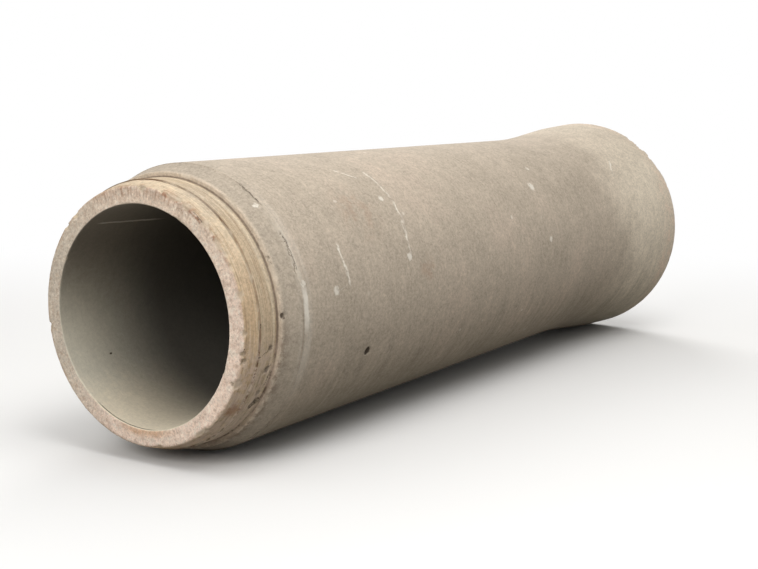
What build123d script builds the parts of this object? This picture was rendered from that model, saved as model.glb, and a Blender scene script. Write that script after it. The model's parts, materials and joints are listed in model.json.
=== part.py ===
"""Precast concrete culvert pipe: a bell at one end, a tapered spigot at the other.

The pipe is cast as one piece, so it is one solid of revolution. Its half section is drawn in
the XZ plane, with X along the waterway from the spigot's face and Z as the radius, and is
turned once about X. All sizes are in millimetres.
"""
from build123d import *
from math import atan, tan
import os

# Waterway
bore_diameter = 533.4
bore_length = 2438.4  # from the spigot's face to the seat inside the bell
bore_edge_radius = 4.0  # worn edge of the mouth at each end

# Barrel
wall_thickness = 88.9

# Spigot: a tapered nose, a small step, then a straight band up to the shoulder
spigot_length = 104.0
nose_wall = 43.3  # at the face
nose_length = 41.0
nose_rise = 11.0
nose_edge_radius = 8.0
step_height = 3.0
step_lean = 3.0  # the step leans back by this much over its height

# Shoulder and the sloping band that the end ring leaves between it and the barrel
shoulder_height = 12.0
shoulder_edge_radius = 4.5
root_radius = 4.0  # hollow corners at the foot of the shoulder and round the seat
end_band_length = 59.0
end_band_lip = 1.5  # the barrel stands proud of the band's upper edge by this much

# Fit of the next pipe's spigot in the socket
joint_clearance = 6.0
outside_gap = 9.0  # left between the shoulder and the bell's face when the joint is home

# Socket
entry_length = 22.0
entry_widening = 2.0
seat_lean = 3.0  # the seat leans towards the mouth, away from the waterway
socket_edge_radius = 5.0

# Bell
bell_wall = 70.0  # at the mouth
bell_edge_radius = 14.0
land_length = 181.0
land_taper = 10.0  # the land is this much lower at its back edge than at the face
flare_length = 350.0
flare_foot_reach = 120.0  # how far the blend into the barrel reaches each way
land_edge_reach = 30.0  # the same for the blend between the flare and the land

# Radii, each built on the one inside it
bore_radius = bore_diameter / 2
barrel_radius = bore_radius + wall_thickness
nose_radius = bore_radius + nose_wall
nose_back_radius = nose_radius + nose_rise
spigot_radius = nose_back_radius + step_height
shoulder_radius = spigot_radius + shoulder_height
end_band_radius = barrel_radius - end_band_lip
inner_socket_radius = nose_radius + joint_clearance
taper_end_radius = nose_back_radius + joint_clearance
socket_radius = spigot_radius + joint_clearance
mouth_radius = socket_radius + entry_widening
bell_radius = mouth_radius + bell_wall
land_back_radius = bell_radius - land_taper

# Places along the pipe
socket_depth = spigot_length - outside_gap
pipe_length = bore_length + socket_depth
step_end = nose_length + step_lean
end_band_end = spigot_length + end_band_length
land_start = pipe_length - land_length
flare_start = land_start - flare_length
entry_start = pipe_length - entry_length
socket_step_start = bore_length + nose_length
socket_step_end = bore_length + step_end
seat_edge = bore_length + seat_lean

# Slopes of the bell's outside, and the blends between them
flare_angle = atan((land_back_radius - barrel_radius) / flare_length)
land_angle = atan(land_taper / land_length)
flare_foot_radius = flare_foot_reach / tan(flare_angle / 2)
land_edge_radius = land_edge_reach / tan(abs(flare_angle - land_angle) / 2)


def limited(radius, wall):
    """Keep a rounding within the height of the wall that it sits on."""
    return min(radius, 0.4 * wall)


seat_height = inner_socket_radius - bore_radius

# Corners of the half section, each as its place along the pipe, its radius and its rounding
spigot_corners = [
    (0, bore_radius, limited(bore_edge_radius, nose_wall)),
    (0, nose_radius, limited(nose_edge_radius, nose_wall)),
    (nose_length, nose_back_radius, 0),
    (step_end, spigot_radius, 0),
    (spigot_length, spigot_radius, limited(root_radius, shoulder_height)),
    (spigot_length, shoulder_radius, limited(shoulder_edge_radius, shoulder_height)),
]
outside_corners = [
    (end_band_end, end_band_radius, 0),
    (end_band_end, barrel_radius, 0),
    (flare_start, barrel_radius, flare_foot_radius),
    (land_start, land_back_radius, land_edge_radius),
    (pipe_length, bell_radius, limited(bell_edge_radius, bell_wall)),
]
socket_corners = [
    (pipe_length, mouth_radius, limited(socket_edge_radius, bell_wall)),
    (entry_start, socket_radius, 0),
    (socket_step_end, socket_radius, 0),
    (socket_step_start, taper_end_radius, 0),
    (seat_edge, inner_socket_radius, limited(root_radius, seat_height)),
    (bore_length, bore_radius, limited(bore_edge_radius, seat_height)),
]


def concrete_pipe():
    """The whole pipe, lying along X with the spigot at the low end and the bell on the floor."""
    corners = spigot_corners + outside_corners + socket_corners
    points = [(along, radius) for along, radius, rounding in corners]
    roundings = [rounding for along, radius, rounding in corners]
    with BuildPart() as pipe:
        with BuildSketch(Plane.XZ):
            with BuildLine():
                FilletPolyline(points, radius=roundings, close=True)
            make_face()
        revolve(axis=Axis.X)
    lowest = pipe.part.bounding_box().min.Z
    return Location((-pipe_length / 2, 0, -lowest)) * pipe.part


os.makedirs("parts", exist_ok=True)
export_step(concrete_pipe(), "parts/concrete_pipe.step")
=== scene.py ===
# %% [markdown]
# # A weathered concrete culvert pipe
#
# The real object is a length of drain pipe, cast in one piece from a dry concrete mix. One end
# is a spigot that enters the next pipe, and the other a bell that receives such a spigot.
# This lesson gives the plain cast shape the surface of an old pipe: rough ends, chipped
# edges, air holes, sandy grain and the stains of years outdoors.
#
# Everything is in metres. The exact model of the pipe comes in first as a frame, and the
# detailed mesh is built where the frame says, so nothing has to be fitted afterwards.

# %% Load the frame
import json
import random
from collections import namedtuple
from math import atan, ceil, cos, degrees, hypot, pi, radians, sin, tan

import bmesh
import bpy
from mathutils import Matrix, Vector, noise


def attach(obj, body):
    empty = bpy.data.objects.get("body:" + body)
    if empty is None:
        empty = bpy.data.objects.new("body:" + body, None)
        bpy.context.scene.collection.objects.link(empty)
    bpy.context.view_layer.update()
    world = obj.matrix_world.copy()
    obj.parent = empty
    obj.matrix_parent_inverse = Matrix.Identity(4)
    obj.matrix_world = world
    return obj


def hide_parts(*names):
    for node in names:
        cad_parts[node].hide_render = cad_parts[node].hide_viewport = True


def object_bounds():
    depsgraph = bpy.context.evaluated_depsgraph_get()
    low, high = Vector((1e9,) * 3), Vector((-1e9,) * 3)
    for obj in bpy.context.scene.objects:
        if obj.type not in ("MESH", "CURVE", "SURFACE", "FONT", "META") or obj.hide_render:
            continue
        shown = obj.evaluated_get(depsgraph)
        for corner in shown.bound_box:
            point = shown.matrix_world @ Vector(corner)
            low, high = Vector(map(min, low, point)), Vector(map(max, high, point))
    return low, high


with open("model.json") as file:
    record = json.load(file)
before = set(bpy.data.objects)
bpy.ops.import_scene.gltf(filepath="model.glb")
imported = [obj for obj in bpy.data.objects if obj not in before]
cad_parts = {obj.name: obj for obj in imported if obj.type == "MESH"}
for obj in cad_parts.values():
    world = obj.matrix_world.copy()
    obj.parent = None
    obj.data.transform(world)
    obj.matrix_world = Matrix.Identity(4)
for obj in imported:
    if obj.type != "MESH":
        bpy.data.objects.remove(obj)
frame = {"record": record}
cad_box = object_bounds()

scene = bpy.context.scene
print("frame runs from", [round(v, 4) for v in cad_box[0]], "to", [round(v, 4) for v in cad_box[1]])

# %% [markdown]
# ## Sizes taken from the frame
#
# A pipe like this is a figure of revolution: a half section that turns about the middle of
# the waterway. The record that travels with the frame knows the round faces that another
# part would fit, so the main radii are read from there instead of being typed again. Places
# along the pipe are measured from the spigot's face, as a maker would.

# %% Radii and lengths
fits = {mount["name"]: mount for mount in frame["record"]["mounts"]}


def fit_radius(name):
    """The radius of one of the pipe's round mounts, in metres."""
    return fits[name]["dims"]["r_mm"] / 1000


bore_radius = fit_radius("waterway")
spigot_radius = fit_radius("spigot_band")
barrel_radius = fit_radius("barrel")
socket_radius = fit_radius("socket")
axis_height = fits["waterway"]["pos_m"][2]
spigot_face_x = cad_box[0].x
pipe_length = cad_box[1].x - spigot_face_x
print(f"bore {2 * bore_radius:.4f} m across, pipe {pipe_length:.4f} m long, axis {axis_height:.4f} m up")

# %% [markdown]
# ## The half section
#
# The section is a closed outline with a corner at each edge of the real pipe. It starts at
# the spigot's mouth, crosses the end face, climbs the nose and the step to the straight band
# and the shoulder to the end band, then runs along the barrel and the flare, round the bell
# and back through the socket and the bore. Every edge is rounded, because cast and handled
# concrete has no knife edges.
#
# It could be a curve with a Screw modifier. Rings made in code are better here, because each
# stretch has its own ring spacing: about 3 mm where the eye looks for chips, and over 20 mm
# on the long plain barrel.

# %% Sizes of the section
nose_length = 0.041
nose_wall = 0.0433
nose_rise = 0.011
step_length = 0.003
spigot_length = 0.104
shoulder_height = 0.012
end_band_length = 0.059
end_band_lip = 0.0015
joint_clearance = socket_radius - spigot_radius
socket_depth = 0.095
entry_length = 0.022
entry_widening = 0.002
seat_lean = 0.003
bell_wall = 0.07
land_length = 0.181
land_taper = 0.01
flare_length = 0.35
flare_foot_reach = 0.12
land_edge_reach = 0.03

nose_radius = bore_radius + nose_wall
nose_back_radius = nose_radius + nose_rise
shoulder_radius = spigot_radius + shoulder_height
end_band_end = spigot_length + end_band_length
mouth_radius = socket_radius + entry_widening
bell_radius = mouth_radius + bell_wall
land_back_radius = bell_radius - land_taper
land_start = pipe_length - land_length
flare_start = land_start - flare_length
bore_length = pipe_length - socket_depth

flare_angle = atan((land_back_radius - barrel_radius) / flare_length)
land_angle = atan(land_taper / land_length)
flare_foot_radius = flare_foot_reach / tan(flare_angle / 2)
land_edge_radius = land_edge_reach / tan((flare_angle - land_angle) / 2)
print(f"flare rises at {degrees(flare_angle):.1f} degrees, land at {degrees(land_angle):.1f}")

# %% Corners and stretches
crisp = 0.001  # rounding of edges that look sharp
rim_reach = 0.045  # the end of the land, where the rim may be chipped
rim_radius = bell_radius - land_taper * rim_reach / land_length
socket_step = bore_length + nose_length + step_length
taper_radius = nose_back_radius + joint_clearance

# Each stretch: its first corner, the rounding there, ring spacing, points in a ring, roughness
Stretch = namedtuple("Stretch", "along radius rounding spacing around rough")
stretches = {
    "face": (0, bore_radius, 0.004, 0.0035, 640, 0.0011),
    "nose": (0, nose_radius, 0.008, 0.0034, 640, 0.0005),
    "step": (nose_length, nose_back_radius, crisp, 0.003, 640, 0.0003),
    "band": (nose_length + step_length, spigot_radius, crisp, 0.0034, 640, 0.0004),
    "shoulder": (spigot_length, spigot_radius, 0.004, 0.003, 640, 0.0005),
    "end band": (spigot_length, shoulder_radius, 0.0045, 0.0042, 640, 0.0004),
    "lip": (end_band_end, barrel_radius - end_band_lip, 0.0004, 0.002, 640, 0.0004),
    "barrel edge": (end_band_end, barrel_radius, crisp, 0.0035, 640, 0.0004),
    "barrel": (end_band_end + 0.011, barrel_radius, 0, 0.028, 160, 0.0003),
    "flare": (flare_start, barrel_radius, flare_foot_radius, 0.026, 160, 0.0003),
    "land": (land_start, land_back_radius, land_edge_radius, 0.016, 320, 0.0004),
    "rim": (pipe_length - rim_reach, rim_radius, 0, 0.006, 320, 0.0006),
    "bell face": (pipe_length, bell_radius, 0.014, 0.005, 320, 0.0012),
    "entry": (pipe_length, mouth_radius, 0.005, 0.006, 320, 0.0006),
    "socket": (pipe_length - entry_length, socket_radius, crisp, 0.006, 320, 0.0006),
    "socket step": (socket_step, socket_radius, crisp, 0.004, 320, 0.0004),
    "taper": (bore_length + nose_length, taper_radius, crisp, 0.006, 320, 0.0006),
    "seat": (bore_length + seat_lean, nose_radius + joint_clearance, 0.004, 0.007, 320, 0.0014),
    "bore end": (bore_length, bore_radius, 0.004, 0.0045, 320, 0.0004),
    "bore": (bore_length - 0.022, bore_radius, 0, 0.06, 160, 0.0002),
    "bore mouth": (0.015, bore_radius, 0, 0.0038, 320, 0.0003),
}
stretches = {name: Stretch(*row) for name, row in stretches.items()}
print(len(stretches), "stretches in the section")

# %% [markdown]
# ## From corners to rings
#
# A rounded corner is a short arc: it leaves the first side at a distance of the rounding
# times the tangent of half the bend. Each ring then needs four facts: where it is in the
# section, which way the surface faces there, how many points go round it and how rough it
# is. The facing lets the wear below cut in at right angles instead of sliding along.

# %% Round a corner
Ring = namedtuple("Ring", "place facing around rough")


def rounded_corner(before, corner, after, rounding, bend_per_step=radians(24)):
    """Points of the arc that rounds a corner, each with the way that the surface faces."""
    arriving = (corner - before).normalized()
    leaving = (after - corner).normalized()
    bend = arriving.angle_signed(leaving)
    start = corner - arriving * abs(rounding * tan(bend / 2))
    side = Vector((arriving.y, -arriving.x)) if bend > 0 else Vector((-arriving.y, arriving.x))
    steps = max(2, ceil(abs(bend) / bend_per_step)) if rounding else 0
    points = []
    for i in range(steps + 1):
        bent = bend * (i / max(1, steps))
        offset = arriving * sin(abs(bent)) * rounding + side * (1 - cos(bent)) * rounding
        heading = Vector((
            arriving.x * cos(bent) + arriving.y * sin(bent),
            arriving.y * cos(bent) - arriving.x * sin(bent),
        ))
        points.append((start + offset, Vector((-heading.y, heading.x))))
    return points


square = rounded_corner(Vector((0, 0)), Vector((0, 1)), Vector((1, 1)), 0.1)
print(len(square), "points round a square corner")

# %% Walk the outline
def section_rings():
    """Every ring of the pipe, in order along the outline."""
    outline = list(stretches.values())
    corners = [Vector((stretch.along, stretch.radius)) for stretch in outline]
    arcs = []
    for i, stretch in enumerate(outline):
        after = corners[(i + 1) % len(corners)]
        arcs.append(rounded_corner(corners[i - 1], corners[i], after, stretch.rounding))
    made = []
    for i, stretch in enumerate(outline):
        around = max(stretch.around, outline[i - 1].around)
        rough = (stretch.rough + outline[i - 1].rough) / 2
        made += [Ring(place, facing, around, rough) for place, facing in arcs[i]]
        start, facing = arcs[i][-1]
        end = arcs[(i + 1) % len(arcs)][0][0]
        count = max(1, round((end - start).length / stretch.spacing))
        for k in range(1, count):
            made.append(Ring(start.lerp(end, k / count), facing, stretch.around, stretch.rough))
    return made


rings = section_rings()
print(len(rings), "rings, with", sum(ring.around for ring in rings), "points")

# %% [markdown]
# ## Directions that never cross
#
# On a real edge a chip takes the whole corner away. In a mesh, points on either side of a
# sharp edge that each move straight in would pass one another, and the surface would fold
# over itself. So each ring gets a facing averaged over a centimetre of the outline, and
# neighbours move almost side by side. Fewer rings would avoid the folds but lose the chips.

# %% Even out the facings
def evened_facings(rings, width=0.01):
    """The facing of each ring, averaged over the outline as far as this to either side."""
    gaps = [(b.place - a.place).length for a, b in zip(rings, rings[1:] + rings[:1])]
    evened = []
    for i, ring in enumerate(rings):
        total = ring.facing * (gaps[i - 1] + gaps[i])
        for way in (1, -1):
            k = i
            away = gaps[k if way == 1 else k - 1]
            while away < width:
                k = (k + way) % len(rings)
                total += rings[k].facing * (1 - away / width) * (gaps[k - 1] + gaps[k])
                away += gaps[k if way == 1 else k - 1]
        evened.append(total.normalized())
    return evened


facings = evened_facings(rings)
turned_most = max(degrees(a.facing.angle(b)) for a, b in zip(rings, facings))
rings = [ring._replace(facing=facing) for ring, facing in zip(rings, facings)]
print(f"facings turned by up to {turned_most:.0f} degrees")

# %% [markdown]
# ## Where a point is
#
# Positions on the pipe are given by the distance along it, the distance from its axis, and
# the turn: 0 degrees on the near side, 90 on top, 180 on the far side and -90 underneath.
# In plain x, y and z nobody could read where on the pipe a mark is.

# %% Places on the pipe
def on_pipe(along, radius, turn):
    """The point at this place along the pipe, this far from its axis and at this turn."""
    return Vector((spigot_face_x + along, -radius * cos(turn), axis_height + radius * sin(turn)))


def smooth(value, start, end):
    """0 up to start, 1 from end on, and an S-shaped rise between them."""
    part = min(1.0, max(0.0, (value - start) / (end - start)))
    return part * part * (3 - 2 * part)


print("top of the spigot's face at", [round(v, 3) for v in on_pipe(0, nose_radius, radians(90))])

# %% [markdown]
# ## Wear that is part of the shape
#
# Three kinds of damage are cut into the mesh itself:
#
# 1. a general roughness, strongest on the ends, where the mix was struck off against a ring;
# 2. chips along the edges, from years of handling: a fractal noise decides where the edge
#    has broken, and the nearer to the edge, the easier it breaks;
# 3. single knocks at chosen places, some of them filled with dirt.
#
# A bump in the material would be quicker, but it leaves the outline of an edge perfectly
# round. All wear goes inward, so the worn pipe never leaves the space of the cast one.

# %% Edges that chip
# Place along, radius, reach of the chips, deepest chip, how readily it breaks, chips in a metre
chipping_edges = [
    (0, nose_radius, 0.024, 0.0055, 0.48, 17),
    (0, bore_radius, 0.012, 0.0018, 0.5, 26),
    (nose_length, nose_back_radius, 0.009, 0.002, 0.6, 26),
    (spigot_length, shoulder_radius, 0.015, 0.004, 0.66, 22),
    (end_band_end, barrel_radius, 0.008, 0.0014, 0.5, 26),
    (pipe_length, bell_radius, 0.042, 0.011, 0.46, 11),
    (pipe_length, mouth_radius, 0.024, 0.006, 0.5, 14),
    (bore_length, bore_radius, 0.018, 0.004, 0.6, 20),
]
still_holds = 0.66  # looseness up to which an edge stays whole
broken_off = 0.8  # looseness from which it is gone to the full depth


def edge_chip(spot, close, deepest, readiness, rate):
    """Depth of an edge chip here. close is 1 on the edge and 0 at the end of its reach."""
    loose = noise.fractal(spot * rate, 0.8, 2.1, 4) * 0.8 + noise.noise(spot * 4) * 0.5
    gone = smooth(loose + readiness - (1 - close) * 0.9, still_holds, broken_off)
    facet = 0.8 + 0.35 * noise.noise(spot * 55)
    return gone * deepest * facet * close ** 0.5, gone


print(len(chipping_edges), "edges chip")

# %% Single knocks
# turn is in degrees, and dirt says how far the knock has filled with it, from 0 to 1
Knock = namedtuple("Knock", "along radius turn size depth dirt")
knocks = [
    (0, 0.3085, 139, 0.012, 0.006, 0.2),
    (0, 0.31, 131, 0.014, 0.008, 0.2),
    (0.001, 0.299, -24.2, 0.0055, 0.004, 0.45),
    (0.001, 0.308, -9.8, 0.008, 0.006, 0.35),
    (0.004, 0.315, -13.0, 0.01, 0.006, 0.35),
    (0, 0.31, 88, 0.011, 0.006, 0.4),
    (0, 0.311, 61, 0.016, 0.005, 0.3),
    (0, 0.3115, 49, 0.014, 0.004, 0.2),
    (0, 0.312, 33, 0.01, 0.003, 0.1),
    (0, 0.312, 15, 0.013, 0.003, 0.1),
    (0, 0.312, -1, 0.01, 0.004, 0.2),
    (0, 0.312, -24, 0.017, 0.004, 0.1),
    (0, 0.312, -52, 0.013, 0.004, 0.1),
    (0.089, spigot_radius, -34.0, 0.012, 0.008, 0.9),
    (0.079, spigot_radius, -36.2, 0.009, 0.006, 0.7),
    (0.081, spigot_radius, -29.0, 0.008, 0.004, 0.4),
    (0.083, spigot_radius, -18.0, 0.009, 0.005, 0.6),
    (0.073, spigot_radius, -19.2, 0.007, 0.004, 0.3),
    (0.082, spigot_radius, -9.0, 0.008, 0.005, 0.6),
    (0.107, shoulder_radius, 3.6, 0.0075, 0.006, 0.9),
    (0.104, shoulder_radius, 27.0, 0.007, 0.005, 0.5),
    (pipe_length, bell_radius, 52, 0.034, 0.009, 0.1),
    (pipe_length, bell_radius, 58, 0.026, 0.007, 0.1),
    (pipe_length, bell_radius, 163, 0.05, 0.012, 0.1),
    (pipe_length, bell_radius, 157, 0.03, 0.008, 0.1),
    (pipe_length, mouth_radius, 118, 0.03, 0.008, 0.1),
    (pipe_length, mouth_radius, -60, 0.022, 0.006, 0.1),
]
knocks = [Knock(*row) for row in knocks]


def knock_depth(spot, centre, size, depth):
    """Depth that one knock takes away here, with a ragged rim."""
    uneven = 1 + 0.45 * noise.noise(spot * 150)
    inside = 1 - (spot - centre).length / (size * uneven)
    return depth * smooth(inside, 0, 0.55), smooth(inside, 0, 0.2)


print(len(knocks), "knocks")

# %% The general roughness
def roughness_depth(spot, rough):
    """Depth of the general unevenness: a slow swell, a rough skin and small pock marks."""
    swell = 0.5 + 0.5 * noise.noise(spot * 2.3)
    skin = 0.5 + 0.5 * noise.fractal(spot * 70, 0.8, 2.2, 3)
    pock = smooth(noise.noise(spot * 210), 0.42, 0.62)
    return 0.0008 * swell + rough * (max(0.0, skin) + 0.9 * pock)


sample = roughness_depth(on_pipe(0, nose_radius - 0.02, 0), stretches["face"].rough)
print(f"the end face is {1000 * sample:.2f} mm low at one spot")

# %% [markdown]
# ## The rings become a mesh
#
# Each ring is laid out point by point, with its wear taken off along its facing. How far the
# surface is broken is stored with every point, for the material to read. Neighbouring rings
# are joined by quads, and where a coarse ring meets a fine one, by small fans of triangles.
# A Displace modifier could move the points, but it needs a fine mesh everywhere.

# %% Wear down one ring
def worn_ring(ring):
    """The worn points of one ring, each with how broken it is."""
    near_edges = []
    for along, radius, reach, *breaking in chipping_edges:
        close = 1 - hypot(ring.place.x - along, ring.place.y - radius) / reach
        if close > 0:
            near_edges.append((close, *breaking))
    near_knocks = []
    for knock in knocks:
        if hypot(ring.place.x - knock.along, ring.place.y - knock.radius) < 1.5 * knock.size:
            centre = on_pipe(knock.along, knock.radius, radians(knock.turn))
            near_knocks.append((centre, knock.size, knock.depth))
    points = []
    for k in range(ring.around):
        turn = 2 * pi * k / ring.around
        spot = on_pipe(ring.place.x, ring.place.y, turn)
        cuts = [(roughness_depth(spot, ring.rough), 0.0)]
        cuts += [edge_chip(spot, *edge) for edge in near_edges]
        cuts += [knock_depth(spot, *knock) for knock in near_knocks]
        worn = ring.place - ring.facing * max(depth for depth, gone in cuts)
        points.append((on_pipe(worn.x, worn.y, turn), max(gone for depth, gone in cuts)))
    return points


edge_ring = min(rings, key=lambda ring: hypot(ring.place.x, ring.place.y - nose_radius))
broken_points = sum(gone > 0.5 for point, gone in worn_ring(edge_ring))
print(broken_points, "of", edge_ring.around, "points on the spigot's edge are broken")

# %% Join two rings
def join_rings(mesh, first, second):
    """Faces between two rings of points, whose counts are equal or a whole multiple."""
    if len(first) == len(second):
        for k in range(len(first)):
            after = (k + 1) % len(first)
            mesh.faces.new((first[k], second[k], second[after], first[after]))
        return
    coarse, fine = (first, second) if len(first) < len(second) else (second, first)
    turned = coarse is second
    share = len(fine) // len(coarse)
    middle = share // 2
    for k in range(len(coarse)):
        here, after = coarse[k], coarse[(k + 1) % len(coarse)]
        steps = [fine[(k * share + j) % len(fine)] for j in range(share + 1)]
        corners = [(here, steps[j], steps[j + 1]) for j in range(middle)]
        corners.append((here, steps[middle], after))
        corners += [(after, steps[j], steps[j + 1]) for j in range(middle, share)]
        for corner in corners:
            mesh.faces.new(corner[::-1] if turned else corner)


mesh = bmesh.new()
broken_layer = mesh.verts.layers.float.new("broken")
hollow_layer = mesh.verts.layers.float.new("hollow")
point_rings = []
for ring in rings:
    vertices = []
    for point, gone in worn_ring(ring):
        vertex = mesh.verts.new(point)
        vertex[broken_layer] = gone
        vertices.append(vertex)
    point_rings.append(vertices)
for i, vertices in enumerate(point_rings):
    join_rings(mesh, vertices, point_rings[(i + 1) % len(point_rings)])
print(len(mesh.verts), "points,", len(mesh.faces), "faces")

# %% [markdown]
# ## Air holes on the long faces
#
# Where an air bubble sat against the form, the surface has a small round hole. The barrel's
# mesh is too coarse for one, so only the faces round each hole are cut finer, three times
# over, each time on a narrower patch, and the points inside the hole are pushed in as a
# bowl. How deep a point lies in its hole is stored too, and the material darkens the hole by it.

# %% Choose the air holes
dice = random.Random(21)

# Place along, radius, turn in degrees, radius of the hole, depth
air_holes = [
    (0.461, barrel_radius, -20.0, 0.0115, 0.01),
    (0.132, bore_radius, -150.0, 0.004, 0.003),
]
for _ in range(9):
    air_holes.append((dice.uniform(0.25, 1.95), barrel_radius, dice.uniform(135, 300),
                      dice.uniform(0.0035, 0.006), dice.uniform(0.003, 0.006)))
for _ in range(3):
    air_holes.append((dice.uniform(1.9, 2.35), bore_radius, dice.uniform(0, 360),
                      dice.uniform(0.003, 0.005), dice.uniform(0.002, 0.004)))
print(len(air_holes), "air holes")

# %% Sink them
finer_patches = (0.045, 0.026, 0.015)
lip_of_hole = 1.25  # the surface dips from this many radii of the hole


def sink_hole(mesh, along, radius, turn, size, depth):
    """Cut the faces round one hole finer and push its points in."""
    centre = on_pipe(along, radius, radians(turn))
    out = on_pipe(along, radius + 1, radians(turn)) - centre
    inward = out if radius == bore_radius else -out
    for patch in finer_patches:
        close = [face for face in mesh.faces if (face.calc_center_median() - centre).length < patch]
        edges = {edge for face in close for edge in face.edges}
        bmesh.ops.subdivide_edges(mesh, edges=list(edges), cuts=1, use_grid_fill=True)
    for vertex in mesh.verts:
        distance = (vertex.co - centre).length / size
        if distance < lip_of_hole:
            bowl = max(0.0, 1 - distance ** 2) ** 0.5
            dip = 0.12 * smooth(lip_of_hole - distance, 0, 0.25)
            vertex.co += inward * depth * (bowl + dip)
            vertex[hollow_layer] = smooth(1.15 - distance, 0, 0.3)


for hole in air_holes:
    sink_hole(mesh, *hole)
print(len(mesh.verts), "points with the air holes")

# %% Hand the mesh over
for face in mesh.faces:
    face.smooth = True
cast_data = bpy.data.meshes.new("cast_pipe")
mesh.to_mesh(cast_data)
mesh.free()
cast_pipe = bpy.data.objects.new("cast_pipe", cast_data)
scene.collection.objects.link(cast_pipe)

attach(cast_pipe, "root")
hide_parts("concrete_pipe")
print(sum(len(face.vertices) - 2 for face in cast_data.polygons), "triangles in the finished pipe")

# %% [markdown]
# ## Writing shader maths as sums
#
# The finish of the concrete is worked out by nodes, point by point. Nodes are easier to read
# as arithmetic, so this small class wraps an output socket and lets Python add, subtract,
# multiply and divide it. Each sum on wires adds one Math node, and plain numbers are worked
# out by Python alone. Every other kind of node comes from the same method.

# %% A socket for sums
def both_ways(operation):
    """The method for wire + value, and its reflected form for value + wire."""
    def forward(self, value):
        return self.sum(operation, self, value)

    def reflected(self, value):
        return self.sum(operation, value, self)

    return forward, reflected


class Wire:
    """An output socket that takes part in sums as a number would."""

    def __init__(self, tree, socket=None):
        self.tree = tree
        self.socket = socket

    def node(self, kind, settings=None, values=None, output=0):
        """Add a node: its settings first, then the values or links of its sockets."""
        made = self.tree.nodes.new(kind)
        for name, value in (settings or {}).items():
            if name == "stops":
                fill_ramp(made.color_ramp, value)
            else:
                setattr(made, name, value)
        for name, value in (values or {}).items():
            if isinstance(value, Wire):
                self.tree.links.new(value.socket, made.inputs[name])
            else:
                made.inputs[name].default_value = value
        return Wire(self.tree, made.outputs[output] if made.outputs else None)

    def other(self, output):
        """Another output of the node that this wire comes from."""
        return Wire(self.tree, self.socket.node.outputs[output])

    def sum(self, operation, first, second=0.0):
        """A Math node on two values."""
        return self.node("ShaderNodeMath", {"operation": operation}, {0: first, 1: second})

    def vectors(self, operation, first, second, output="Vector"):
        """A Vector Math node on two positions."""
        return self.node("ShaderNodeVectorMath", {"operation": operation}, {0: first, 1: second}, output)

    __add__, __radd__ = both_ways("ADD")
    __sub__, __rsub__ = both_ways("SUBTRACT")
    __mul__, __rmul__ = both_ways("MULTIPLY")
    __truediv__, __rtruediv__ = both_ways("DIVIDE")
    __pow__, __rpow__ = both_ways("POWER")

    def __abs__(self):
        return self.sum("ABSOLUTE", self)


print("a wire knows", sum(name.startswith("__r") for name in vars(Wire)), "reflected sums")

# %% Ramps, and trees to start from
def fill_ramp(ramp, stops):
    """Give a colour ramp its stops, each a place from 0 to 1 and a colour."""
    while len(ramp.elements) < len(stops):
        ramp.elements.new(1.0)
    for element, (place, colour) in zip(ramp.elements, stops):
        element.position = place
        element.color = colour


def empty_tree(owner):
    """Empty the node tree of a material or a world, for a wire that its nodes start from."""
    owner.use_nodes = True
    owner.node_tree.nodes.clear()
    return Wire(owner.node_tree)


finish = bpy.data.materials.new("weathered_concrete")
blank = empty_tree(finish)
print("an empty finish has", len(finish.node_tree.nodes), "nodes")

# %% Colours and masks
def paint(red, green, blue):
    """A colour as read off a screen, 0 to 255, turned into the linear one that nodes use."""
    def linear(value):
        part = value / 255
        return part / 12.92 if part <= 0.04045 else ((part + 0.055) / 1.055) ** 2.4
    return (linear(red), linear(green), linear(blue), 1.0)


def rise(value, start, end):
    """0 at start and 1 at end, smooth between them; start may be the larger."""
    return value.node("ShaderNodeMapRange", {"interpolation_type": "SMOOTHSTEP"},
                      {"Value": value, "From Min": start, "From Max": end})


def blend(mask, first, second, kind="MIX"):
    """The first colour where the mask is 0, the second where it is 1."""
    wire = next(w for w in (mask, first, second) if isinstance(w, Wire))
    return wire.node("ShaderNodeMix", {"data_type": "RGBA", "blend_type": kind},
                     {0: mask, 6: first, 7: second}, output=2)


def all_of(masks):
    """One mask that shows wherever any of these does."""
    joined = masks[0]
    for mask in masks[1:]:
        joined = joined.sum("MAXIMUM", joined, mask)
    return joined


print("paint 196 182 163 is", [round(v, 3) for v in paint(196, 182, 163)])

# %% Noise and places
def clouds(vector, scale, detail=2.0, roughness=0.5):
    """A soft noise from 0 to 1, with its patches about 1/scale metres wide."""
    return vector.node("ShaderNodeTexNoise", {},
                       {"Vector": vector, "Scale": scale, "Detail": detail, "Roughness": roughness})


def stretched(vector, x, y, z):
    """The position with each axis stretched, so that a noise on it runs in streaks."""
    return vector.vectors("MULTIPLY", vector, (x, y, z))


def nudged(vector, scale, most):
    """The position, moved to and fro by up to this much, for irregular outlines."""
    push = vector.node("ShaderNodeTexNoise", {},
                       {"Vector": vector, "Scale": scale, "Detail": 3.0}, output="Color")
    push = vector.vectors("MULTIPLY", push, (2 * most,) * 3)
    push = vector.vectors("SUBTRACT", push, (most,) * 3)
    return vector.vectors("ADD", vector, push)


def near(vector, along, radius, turn, size, soft=0.4):
    """1 near one place on the pipe, fading to 0 at the given size from it."""
    centre = on_pipe(along, radius, radians(turn))
    distance = vector.vectors("DISTANCE", vector, tuple(centre), "Value")
    return rise(distance, size, size * soft)


here = blank.node("ShaderNodeTexCoord", output="Object")
wobbly = nudged(here, 45.0, 0.008)
shaken = nudged(here, 160.0, 0.006)
print("positions wobble by up to 8 mm and shake by up to 6 mm")

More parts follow.
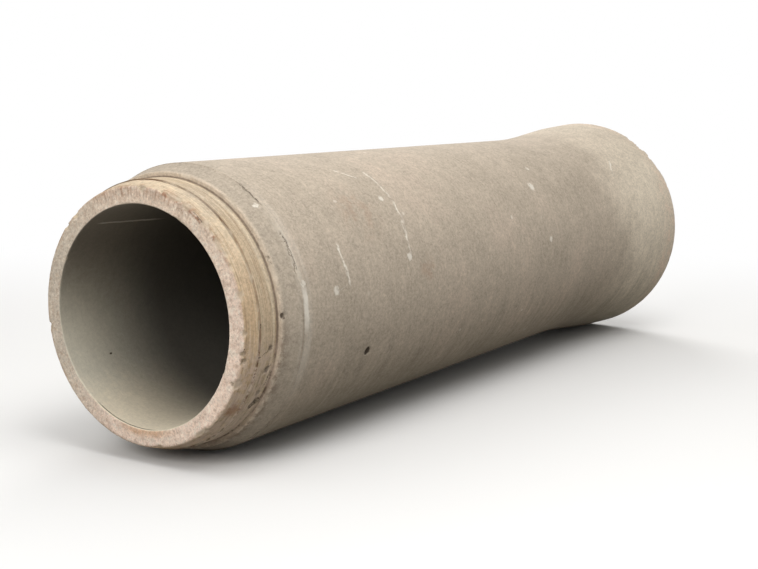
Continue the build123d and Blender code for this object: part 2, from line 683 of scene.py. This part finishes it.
# %% [markdown]
# ## The concrete
#
# One cast body has one material, but its surface differs from zone to zone: sandy on the end
# faces, creamy on the nose and band, a dull tan on the barrel, a smooth grey in the bore.
# Separate materials would leave hard seams between the zones. Here each zone is a mask from
# the distance along the pipe, the distance to the axis or the turn, and most masks are frayed
# by noise, so no border is ruled.

# %% Colours of the zones
colours = {
    "face": (240, 216, 197),
    "face top": (228, 207, 186),
    "face grey": (197, 188, 171),
    "face brown": (166, 130, 102),
    "face sand": (246, 234, 216),
    "nose top": (211, 191, 163),
    "nose": (201, 174, 141),
    "nose line": (150, 122, 94),
    # a painted shade for the crease at the step
    "step": (104, 80, 58),
    "band": (194, 173, 145),
    "band stripe": (220, 204, 177),
    # partly dirt and partly a painted shade in the shoulder's corner
    "shoulder foot dirt and shade": (92, 74, 58),
    "shoulder edge": (200, 184, 164),
    "end band": (178, 165, 148),
    "barrel": (189, 175, 157),
    "barrel pink": (197, 180, 162),
    "barrel dull": (176, 163, 145),
    "bell": (224, 211, 190),
    "bell rim": (222, 198, 176),
    "bell face": (222, 208, 190),
    "bell face stain": (150, 132, 116),
    "socket": (184, 174, 158),
    "socket stain": (140, 126, 116),
    "seat": (150, 140, 124),
    "bore": (208, 201, 183),
    "bore top shade": (128, 120, 108),
    "bore depth damp and shade": (88, 84, 76),
    "bore dust": (240, 225, 198),
    "damp and underside shade": (104, 98, 80),
    "lime": (234, 226, 212),
    "rust": (150, 108, 82),
    "ochre": (206, 150, 92),
    "clay": (214, 192, 174),
    "clay line": (112, 92, 76),
    "fresh break": (200, 186, 166),
    "dirt": (66, 54, 44),
}
colours = {name: paint(*screen) for name, screen in colours.items()}


def layered(under, *layers):
    """The colour under more layers, each a mask and the name of a colour."""
    for mask, name in layers:
        under = blend(mask, under, colours[name])
    return under


print(len(colours), "named colours")

# %% Where the point is, and shared noises
axes = here.node("ShaderNodeSeparateXYZ", values={"Vector": here})
side = axes.other("Y")
height = axes.other("Z") - axis_height
here_along = axes - spigot_face_x
here_radius = (side * side + height * height) ** 0.5
here_turn = axes.sum("ARCTAN2", height, 0 - side)
upward = height / here_radius

broken = blank.node("ShaderNodeAttribute", {"attribute_name": "broken"}, output="Fac")
hollow = blank.node("ShaderNodeAttribute", {"attribute_name": "hollow"}, output="Fac")

patches = clouds(here, 4.0, 3.0, 0.6)
mottle = clouds(here, 28.0, 4.0, 0.65)
ragged = clouds(here, 55.0, 3.0, 0.7) - 0.5
blotches = clouds(here, 70.0, 3.0, 0.7)
specks = clouds(here, 190.0, 3.0, 0.75)
drips = clouds(stretched(here, 60.0, 5.0, 5.0), 1.0, 4.0, 0.6)
rings_round = clouds(stretched(here, 230.0, 3.0, 3.0), 1.0, 2.0, 0.5)
print(len(finish.node_tree.nodes), "nodes so far")

# %% Masks by place, radius and turn
def frayed(value, amount):
    """The value with a ragged nudge, where an amount of it is asked for."""
    return value + ragged * amount if amount else value


def between(value):
    """A maker of masks that are 0 where the value is start and 1 where it is end."""
    return lambda start, end, fray=0.0: rise(frayed(value, fray), start, end)


def turn_from(start, end):
    """0 at one turn and 1 at another, both in degrees."""
    return rise(here_turn, radians(start), radians(end))


def by_place(middle, reach, full, fray=0.0):
    """1 within full of a place along the pipe, fading to 0 at its reach."""
    return rise(abs(frayed(here_along, fray) - middle), reach, full)


def by_turn(middle, reach, full):
    """1 within full of a turn, fading to 0 at its reach, all in degrees."""
    return rise(abs(here_turn - radians(middle)), radians(reach), radians(full))


along_from = between(here_along)
radius_from = between(here_radius)
up_from = between(upward)  # the pipe's top is 1 and its underside -1

in_bore = radius_from(bore_radius + 0.0035, bore_radius + 0.001)
in_bell = along_from(bore_length - 0.004, bore_length)
in_socket = in_bell * radius_from(mouth_radius + 0.006, mouth_radius + 0.001)
outer = radius_from(nose_radius, nose_back_radius)
on_face = along_from(0.0045, 0.001, 0.004)
on_nose = along_from(nose_length, nose_length - 0.003)
on_end_ring = along_from(spigot_length, spigot_length - 0.003)
on_barrel = along_from(end_band_end, end_band_end + 0.004)
on_bell_face = along_from(pipe_length - 0.006, pipe_length - 0.002)
on_bell_face = on_bell_face * radius_from(bell_radius, bell_radius - 0.01)
print("masks for nine zones")

# %% [markdown]
# ## The outside
#
# The ring that shaped the spigot left a creamy skin on the nose and band, with fine lines
# round it. The dark line at the step is a painted shade in its crease, and the dark foot at
# the shoulder is partly dirt and partly a painted shade in its corner. The barrel is duller.
# These zones follow one another along the pipe, so one colour ramp lays them all down, and
# what differs round the pipe goes over it.

# %% Ramp along the spigot's end
ramp_reach = 0.2  # the ramp covers this much of the pipe's spigot end
bands = [
    (0.0, "nose top"),
    (nose_length - 0.002, "nose top"),
    # the step's dark stops are a painted shade in its crease
    (nose_length + 0.001, "step"),
    (nose_length + step_length, "step"),
    (nose_length + step_length + 0.002, "band"),
    (spigot_length - 0.022, "band"),
    (spigot_length - 0.014, "band stripe"),
    (spigot_length - 0.006, "band"),
    (spigot_length - 0.002, "shoulder edge"),
    (spigot_length + 0.004, "shoulder edge"),
    (spigot_length + 0.011, "end band"),
    (end_band_end - 0.001, "end band"),
    (end_band_end + 0.004, "barrel"),
]
stops = [(place / ramp_reach, colours[name]) for place, name in bands]
ramp_place = frayed(here_along, 0.002) / ramp_reach
outside = ramp_place.node("ShaderNodeValToRGB", {"stops": stops}, {"Fac": ramp_place})
print(len(bands), "stops on the ramp")

# %% Nose, step and band
# The shoulder's foot is darkened, partly dirt and partly a painted shade in the corner.
foot = by_place(spigot_length - 0.001, 0.0045, 0.0015)
foot = foot * radius_from(spigot_radius + 0.005, spigot_radius + 0.001, 0.003)
# The step's painted shade is weaker between about 6 and 32 degrees of turn.
on_step = by_place(nose_length + 0.002, 0.0045, 0.003)
faint_step_shade = turn_from(50, 32) * turn_from(-6, 6)
front = along_from(0.024, 0.006, 0.02) * turn_from(25, 50) * turn_from(130, 100)
fine_rings = clouds(stretched(here, 330.0, 7.0, 7.0), 1.0, 3.0, 0.6)
outside = layered(
    outside,
    (foot * 0.8, "shoulder foot dirt and shade"),
    (on_step * faint_step_shade * 0.5, "band"),
    (on_nose * up_from(0.75, 0.1), "nose"),
    (front * rise(mottle, 0.42, 0.62) * 0.6, "rust"),
    (on_end_ring * rise(patches + ragged * 0.2, 0.5, 0.62) * 0.45, "end band"),
    (on_end_ring * rise(fine_rings, 0.53, 0.66) * 0.55, "nose line"),
    (on_end_ring * rise(fine_rings, 0.46, 0.34) * 0.5, "band stripe"),
)
print("the spigot's end is coloured")

# %% Barrel and bell
drift = patches - 0.5  # the bell's paler concrete starts at no one place
# The bell's paler concrete is partly real and partly a painted light that offsets the flare's shade; it is
# laid thinner on top, where the lamps already light it.
bell_pale_and_painted_light = rise(here_along + drift * 0.5 + ragged * 0.1, land_start - 0.42, land_start - 0.02)
near_rim = rise(here_along + ragged * 0.05 + drift * 0.25, pipe_length - 0.12, pipe_length - 0.02)
outside = layered(
    outside,
    (on_barrel * rise(patches, 0.5, 0.7) * 0.6, "barrel pink"),
    (on_barrel * rise(patches, 0.5, 0.3) * 0.4, "barrel dull"),
    (bell_pale_and_painted_light * (0.9 - up_from(0.55, 0.95) * 0.5), "bell"),
    (near_rim * (0.15 + rise(mottle, 0.45, 0.6) * 0.5), "bell rim"),
    (along_from(pipe_length - 0.018, pipe_length - 0.008, 0.01) * 0.6, "lime"),
)
print("the barrel and the bell are coloured")

# %% [markdown]
# ## The spigot's face
#
# The end face was struck off while the mix was stiff, so it shows light and brown grains of
# sand over a pinkish ground, greyer towards the far side. Rusty water has run down it from
# the top in short spokes. They are a noise that depends on the turn alone, which is simpler
# than drawing each one.

# %% Colour the face
# The face is paler below its top, a painted light that offsets the shade it gets near the floor.
end_face = blend(up_from(0.1, 0.9), colours["face"], colours["face top"])
far_side = rise(side / here_radius, 0.25, 0.95)
outer_rim = radius_from(0.296, 0.304, 0.012) * turn_from(20, 42) * turn_from(96, 70)
top_stain = by_turn(88, 48, 12) * radius_from(0.277, 0.292)
low_stain = by_turn(-88, 22, 6) * radius_from(0.29, 0.276, 0.01)
spokes = here_turn.node("ShaderNodeTexNoise", {"noise_dimensions": "1D"},
                        {"W": here_turn, "Scale": 42.0, "Detail": 3.0})
end_face = layered(
    end_face,
    (far_side * 0.75, "face grey"),
    (rise(blotches, 0.52, 0.66) * 0.35, "face brown"),
    (rise(blotches, 0.48, 0.36) * 0.55 * (1 - far_side), "face sand"),
    (rise(specks, 0.55, 0.68) * 0.4, "face brown"),
    (rise(specks, 0.46, 0.36) * 0.4, "face sand"),
    (outer_rim * rise(mottle, 0.42, 0.54) * 0.8, "rust"),
    (radius_from(0.3, 0.306, 0.014) * rise(mottle, 0.44, 0.56) * 0.4, "face brown"),
    (top_stain * (rise(spokes, 0.42, 0.7) * 0.45 + 0.12), "rust"),
    (low_stain * 0.45, "ochre"),
)
surface = blend(on_face, outside, end_face)
print("the face has its sand and its rust")

# %% [markdown]
# ## The bell's end and the bore
#
# The bell's face is struck off like the spigot's. Water has stained the socket behind it in
# drips, with lime here and there. The bore is the smoothest part, pale with settled dust at
# the bottom. Its upper side is a darker grey, a painted shade. It is also darker with depth,
# partly damp and partly a painted shade, since lamps near a model light a tunnel deeper
# than daylight.

# %% Colour the bell's end
bell_face = blend(rise(blotches, 0.5, 0.66) * 0.45, colours["bell face"], colours["bell face stain"])
bell_face = layered(
    bell_face,
    (rise(specks, 0.46, 0.36) * 0.5, "face sand"),
    (rise(specks, 0.55, 0.68) * 0.4, "face brown"),
)
surface = blend(on_bell_face, surface, bell_face)
on_seat = in_socket * along_from(bore_length + 0.008, bore_length + 0.003, 0.004)
surface = layered(
    surface,
    (in_socket, "socket"),
    (in_socket * rise(drips, 0.45, 0.65) * 0.6, "socket stain"),
    (in_socket * rise(patches + ragged * 0.3, 0.52, 0.6) * 0.35, "lime"),
    (on_seat * 0.7, "seat"),
    (on_seat * rise(specks, 0.52, 0.64) * 0.5, "face brown"),
)
print("the bell's end is coloured")

# %% Colour the bore
# Painted shade: the bore's upper side is darker.
bore = blend(up_from(-0.35, 0.65, 0.2), colours["bore"], colours["bore top shade"])
bore = layered(
    bore,
    (up_from(-0.55, -0.95, 0.3) * 0.7, "bore dust"),
    # darker with depth, partly damp and partly a painted shade
    (along_from(0.02, 0.38) * along_from(bore_length, bore_length - 0.4), "bore depth damp and shade"),
)
surface = blend(in_bore, surface, bore)
print("the bore is coloured")

# %% [markdown]
# ## Marks at their own places
#
# Some marks belong to this one pipe: a long pale scratch that bends round the barrel, lime
# that has run out at the end band, white dabs, dark cracks at the spigot and a painted shadow
# under a broken edge of its face. A painted image would be the usual way. Here each mark is a
# distance worked out in space, from a point or a line, and read at a slightly nudged position,
# so it stays sharp at any size.

# %% Lines and cracks
wander = (mottle - 0.5) * 0.035 + ragged * 0.006


def line_round(start, end, width):
    """A thin line round the pipe between two places, each given as (along, turn in degrees)."""
    first, last = radians(start[1]), radians(end[1])
    slope = (end[0] - start[0]) / (last - first)
    away = abs(here_along + wander - (here_turn - first) * slope - start[0])
    low, high = sorted((start[1], end[1]))
    return rise(away, width, width * 0.2) * turn_from(low, low + 2.5) * turn_from(high, high - 2.5)


def crack(start, end, width):
    """A thin crooked line between two places on the pipe, each given as (along, radius, turn)."""
    first = on_pipe(start[0], start[1], radians(start[2]))
    span = on_pipe(end[0], end[1], radians(end[2])) - first
    reached = shaken.vectors("SUBTRACT", shaken, tuple(first))
    share = reached.vectors("DOT_PRODUCT", reached, tuple(span / span.length_squared), "Value")
    share = share.node("ShaderNodeClamp", {}, {"Value": share})
    nearest = share.node("ShaderNodeVectorMath", {"operation": "SCALE"}, {0: tuple(span), "Scale": share})
    away = nearest.vectors("DISTANCE", reached, nearest, "Value")
    return rise(away, width, width * 0.3)


print("lines wander by about a centimetre")

# %% Pale scratches and dabs
# (along, turn) of the line's two ends, half its width
pale_lines = [
    ((0.684, 62), (0.69, 43), 0.006),
    ((0.69, 43), (0.651, 14), 0.007),
    ((0.352, 28), (0.362, 9), 0.006),
    ((0.362, 11), (0.302, 8), 0.005),
    ((2.205, 48), (2.14, 37), 0.006),
    ((0.56, 66), (0.64, 55), 0.005),
    ((1.24, 152), (1.31, 128), 0.0045),
    ((0.83, 176), (0.8, 158), 0.004),
    ((1.9, 168), (1.835, 149), 0.004),
]
# along, turn, size, on the barrel
pale_dabs = [
    (0.651, 16.0, 0.013),
    (0.645, 44.0, 0.012),
    (0.302, 9.1, 0.014),
    (1.508, 39.3, 0.018),
    (1.583, 51.0, 0.01),
    (1.506, 9.8, 0.012),
    (0.176, 14.5, 0.012),
    (0.64, 164.0, 0.016),
    (1.42, 176.0, 0.013),
    (1.12, 137.0, 0.011),
    (2.01, 121.0, 0.012),
]
scuffed = rise(mottle, 0.3, 0.55)
pale_marks = all_of([line_round(*line) for line in pale_lines])
pale_marks = pale_marks * (scuffed * 0.7 + 0.3) * rise(ragged, -0.16, 0.02)
dabs = [near(shaken, along, barrel_radius, turn, size, 0.6) for along, turn, size in pale_dabs]
dabs.append(near(shaken, 0.15, 0.35, 49.0, 0.009, 0.6))
print(len(pale_lines), "lines,", len(dabs), "dabs")

# %% Lime
lime_run = by_place(0.176, 0.013, 0.005, 0.012) * by_turn(5, 12, 4)
pale_edge = by_place(0.178, 0.03, 0.006, 0.02) * by_turn(12, 55, 20)
lime_specks = blank.node("ShaderNodeTexVoronoi", values={"Vector": wobbly, "Scale": 11.0})
lime_specks = rise(lime_specks, 0.085, 0.045) * rise(patches, 0.42, 0.6)
lime = outer * all_of([
    pale_marks,
    all_of(dabs) * rise(ragged, -0.2, 0.0) * 0.85,
    pale_edge * rise(drips, 0.35, 0.65) * 0.35,
    lime_run * (scuffed * 0.3 + 0.7),
    lime_specks * 0.6,
])
print("lime masks are ready")

# %% Cracks, a painted shadow and dirt
# (along, radius, turn) of the crack's two ends, half its width, how dark it is
dark_cracks_and_shadow = [
    ((0.082, spigot_radius, -9.2), (0.043, spigot_radius, -12.0), 0.002, 0.8),
    ((0.092, spigot_radius, -35.5), (0.076, spigot_radius, -38.6), 0.0024, 0.9),
    ((0.101, spigot_radius, -15.5), (0.078, spigot_radius, -19.0), 0.0016, 0.8),
    ((0.164, barrel_radius, 48.0), (0.163, barrel_radius, 62.0), 0.002, 0.45),
    ((0.166, barrel_radius, 30.0), (0.16, barrel_radius, 37.0), 0.0024, 0.7),
    ((0.167, barrel_radius, 20.0), (0.165, barrel_radius, 30.0), 0.0022, 0.7),
    ((0.044, spigot_radius, 2.0), (0.044, spigot_radius, -22.0), 0.0018, 0.8),
    # This line is a painted shadow under an overhanging broken edge of the face, not a crack.
    ((0.002, 0.311, -7.5), (0.005, 0.315, -15.0), 0.0032, 0.9),
    ((0.098, spigot_radius, -19.0), (0.093, spigot_radius, -26.0), 0.0022, 0.8),
    ((0.002, 0.306, 50.0), (0.002, 0.3085, 56.0), 0.003, 0.6),
    ((0.11, shoulder_radius, 24.0), (0.104, shoulder_radius, 30.0), 0.0014, 0.6),
]
cracks_and_shadow = all_of([crack(*ends) * dark for *ends, dark in dark_cracks_and_shadow])

# Turns at the two ends of each dark stretch where end band and barrel meet
border_turns = [(48, 64), (17, 35), (112, 131), (-160, -140), (-60, -38)]
meeting = end_band_end + 0.0015
border = all_of([line_round((meeting, first), (meeting, last), 0.003) for first, last in border_turns])
border = all_of([border, by_place(end_band_end + 0.0005, 0.003, 0.0012) * up_from(0.25, 0.0) * 0.7])

filled = [knock for knock in knocks if knock.dirt > 0.3]
dirty = all_of([near(shaken, *knock[:3], knock.size * 1.15, 0.6) * knock.dirt for knock in filled])
dirty = all_of([dirty, near(here, 0.108, shoulder_radius, 3.6, 0.0075, 0.6)])
print(len(dark_cracks_and_shadow), "cracks,", len(filled), "knocks filled with dirt")

# %% [markdown]
# ## Grain, clay and weather
#
# Concrete is never one even tone: sand, grit and the marks of the form all show in it. These
# noises multiply the colour rather than cover it, so that every zone keeps its own hue. Over
# them come the stains: rust, clay that dried on low down, broken concrete, lime that ran
# out of it, and dirt in the knocks and cracks, one of which is a painted shadow. The air
# holes are darkened inside, and the underside is darker, partly damp and partly a painted shade.

# %% Grain
grit = clouds(here, 105.0, 2.0, 0.6)
sand = clouds(here, 260.0, 2.0, 0.7)
grains = clouds(here, 520.0, 2.0, 0.7)
cells = blank.node("ShaderNodeTexVoronoi", values={"Vector": here, "Scale": 240.0}, output="Color")
cells = cells.node("ShaderNodeSeparateXYZ", values={"Vector": cells})
tone = drift * 0.2 + (mottle - 0.5) * 0.42 + (grit - 0.5) * 0.5 + (cells - 0.5) * 0.2
tone = tone + (grains - 0.5) * 0.45
tone = tone + (rings_round - 0.5) * (0.1 + drips * 0.12) + (drips - 0.5) * 0.16
tone = 1 + tone * (1 - in_bore * 0.6)
surface = blend(1.0, surface, tone, "MULTIPLY")
print("the grain is laid")

# %% Rust and clay
smudges = near(wobbly, 0.73, barrel_radius, 10, 0.05)
smudges = all_of([smudges, near(wobbly, 0.5, barrel_radius, 40, 0.12, 0.1)])
clay_side = by_turn(-42, 44, 22) * along_from(0.112, 0.1, 0.02) * (1 - on_face) * (1 - in_bore)
streaky = clouds(stretched(here, 170.0, 14.0, 14.0), 1.0, 4.0, 0.7)
sore = near(wobbly, 0.026, nose_radius + 0.006, -37, 0.034, 0.2)
grime = along_from(0.14, 0.108, 0.03) * along_from(0.103, 0.106) * turn_from(12, -14) * turn_from(-100, -70)
surface = layered(
    surface,
    (smudges * rise(mottle, 0.4, 0.65) * 0.3, "rust"),
    (clay_side * rise(ragged, -0.12, 0.08) * 0.7, "clay"),
    (clay_side * rise(streaky, 0.54, 0.64) * 0.4, "clay line"),
    (clay_side * rise(streaky, 0.46, 0.36) * 0.5, "band stripe"),
    (sore * rise(mottle, 0.36, 0.56) * 0.65, "rust"),
    (grime * outer * rise(ragged, -0.1, 0.1) * 0.6, "clay line"),
)
print("rust and clay are on")

# %% Breaks, lime and dirt
lip_line = by_place(0.0048, 0.0023, 0.001, 0.002) * by_turn(-103, 24, 16)
lip_line = lip_line * radius_from(bore_radius + 0.002, bore_radius + 0.0005)
seam = abs(here_turn - radians(130) - (here_along - 0.17) * 0.22 + ragged * 0.02)
seam = rise(seam, 0.016, 0.005) * in_bore * along_from(0.3, 0.22) * along_from(0.03, 0.06)
fine = clouds(here, 300.0, 2.0, 0.6) - 0.5
# The underside is darker, partly damp and partly a painted shade.
underneath = rise(upward + (drips - 0.5) * 0.5, -0.25, -0.85)
surface = layered(
    surface,
    (broken * 0.45, "fresh break"),
    (lime, "lime"),
    (border * outer * 0.45, "dirt"),
    (cracks_and_shadow, "dirt"),
    (dirty * 0.9, "dirt"),
    (lip_line * 0.85, "dirt"),
    (seam * 0.4, "lime"),
    # darker inside the air holes, by how deep a point lies in one
    (rise(hollow + fine * 0.5, 0.25, 0.6) * 0.85, "dirt"),
    (underneath * on_barrel * (1 - in_bore) * 0.5, "damp and underside shade"),
)
print("lime and dirt are on,", len(finish.node_tree.nodes), "nodes so far")

# %% [markdown]
# ## The skin
#
# Weathered concrete is matt and a little sandy to the touch. Its grains are too fine for the
# mesh, so they are a bump that follows the noises of the colour. Gloss is the same all over,
# so it is one plain number on the shader.

# %% Put the finish on
grain_height = sand * 0.5 + grains * 0.25 + mottle * 0.3 + rings_round * 0.35
bump = blank.node("ShaderNodeBump", values={"Height": grain_height, "Distance": 0.0012, "Strength": 0.6})
shader = blank.node("ShaderNodeBsdfPrincipled", values={
    "Base Color": surface,
    "Roughness": 0.92,
    "Normal": bump,
    "Specular IOR Level": 0.25,
})
blank.node("ShaderNodeOutputMaterial", values={"Surface": shader})
cast_data.materials.append(finish)
print(len(finish.node_tree.nodes), "nodes in the finish")

# %% [markdown]
# ## Floor and backdrop
#
# The pipe is wider at the bell, so on flat ground it rests on the bell's rim and on the other
# end of the barrel, and its axis slopes by about a degree. The frame keeps the axis level,
# so here the floor takes up the slope and touches the pipe at both places. Away from the
# pipe it fades to white, where a curved backdrop would show its bend from the side.

# %% Lay the floor
barrel_gap = axis_height - barrel_radius
floor_slope = atan(barrel_gap / (pipe_length - end_band_end))
floor_data = bpy.data.meshes.new("floor")
floor_mesh = bmesh.new()
bmesh.ops.create_circle(floor_mesh, cap_ends=True, segments=64, radius=40)
floor_mesh.to_mesh(floor_data)
floor_mesh.free()
floor = bpy.data.objects.new("floor", floor_data)
floor.location = (cad_box[1].x, 0, 0)
floor.rotation_euler = (0, floor_slope, 0)
scene.collection.objects.link(floor)
print(f"floor slopes by {degrees(floor_slope):.2f} degrees")

# %% Colour the floor
def seen_plainly(blank):
    """1 for what the camera sees, also through gloss or glass, and 0 for light on its way."""
    ray = blank.node("ShaderNodeLightPath", output="Is Camera Ray")
    through = ray.sum("MAXIMUM", ray.other("Is Glossy Ray"), ray.other("Is Transmission Ray"))
    return ray.sum("MAXIMUM", ray, through)


pale = bpy.data.materials.new("pale_floor")
blank = empty_tree(pale)
shown = seen_plainly(blank)
ground = blank.node("ShaderNodeTexCoord", output="Object")
middle = (-pipe_length / 2, 0, 0)
away = ground.vectors("DISTANCE", ground, middle, "Value")
floor_colour = blend(shown, paint(150, 148, 144), paint(240, 239, 237))
matt = blank.node("ShaderNodeBsdfDiffuse", values={"Color": floor_colour})
white = blank.node("ShaderNodeEmission", values={"Color": paint(255, 255, 255), "Strength": 1.0})
mixed = blank.node("ShaderNodeMixShader", values={0: rise(away, 1.5, 4.2) * shown, 1: matt, 2: white})
blank.node("ShaderNodeOutputMaterial", values={"Surface": mixed})
floor_data.materials.append(pale)
print(len(pale.node_tree.nodes), "nodes in the floor")

# %% [markdown]
# ## Light
#
# Rough concrete looks right in soft light from all over, strongest from above. A plain world
# gives the even part, brighter overhead. Three broad lamps give the rest: a large one high
# over the near side, one in front of the spigot that lifts its face and the bore, and one
# beyond the bell so that the far side isn't dull. A single sun would show more grain, but
# its hard shadows would hide half of the shape.

# %% Sky
sky = bpy.data.worlds.new("studio")
blank = empty_tree(sky)
shown = seen_plainly(blank)
direction = blank.node("ShaderNodeTexCoord", output="Generated")
up = blank.node("ShaderNodeSeparateXYZ", values={"Vector": direction}, output="Z")
glow = 0.2 + rise(up, -0.05, 1.0) * 0.5
strength = glow * (1 - shown) + shown
light = blank.node("ShaderNodeBackground", values={"Color": paint(255, 255, 255), "Strength": strength})
blank.node("ShaderNodeOutputWorld", values={"Surface": light})
scene.world = sky
scene.view_settings.view_transform = "Standard"
print("the sky glows at 0.2 low down and 0.7 overhead")

# %% Lamps
# Where it hangs, its width, its power in watts
lamps = {
    "overhead": ((-1.2, -2.0, 4.4), 3.0, 97.0),
    "front": ((-4.9, -0.9, 2.6), 2.0, 82.0),
    "far side": ((3.6, 2.4, 2.8), 2.5, 90.0),
}
for name, (place, width, power) in lamps.items():
    lamp = bpy.data.lights.new(name, "AREA")
    lamp.shape = "SQUARE"
    lamp.size = width
    lamp.energy = power
    holder = bpy.data.objects.new(name, lamp)
    holder.location = place
    aim = Vector((0, 0, axis_height)) - holder.location
    holder.rotation_euler = aim.to_track_quat("-Z", "Y").to_euler()
    scene.collection.objects.link(holder)
print(len(lamps), "lamps")

# %% [markdown]
# ## Camera
#
# The view is from two metres in front of the spigot, two metres to its near side and half a
# metre above the axis, so that the face, the bore and the near side all show. A lens a
# little longer than a normal one fills the picture from there.

# %% Set up the camera
eye = Vector((-3.3633, -2.0099, 0.9203))
look_at = Vector((-0.544, -0.2, 0.404))
camera_data = bpy.data.cameras.new("camera")
camera_data.lens = 58.9
camera_data.sensor_width = 36.0
camera = bpy.data.objects.new("camera", camera_data)
camera.location = eye
camera.rotation_euler = (look_at - eye).to_track_quat("-Z", "Y").to_euler()
scene.collection.objects.link(camera)
scene.camera = camera
print(f"camera {eye.z:.2f} m up, {(look_at - eye).length:.2f} m from the pipe")

# %% [markdown]
# ## The box
#
# The worn pipe stays in the box of the cast one, since all wear goes inward.
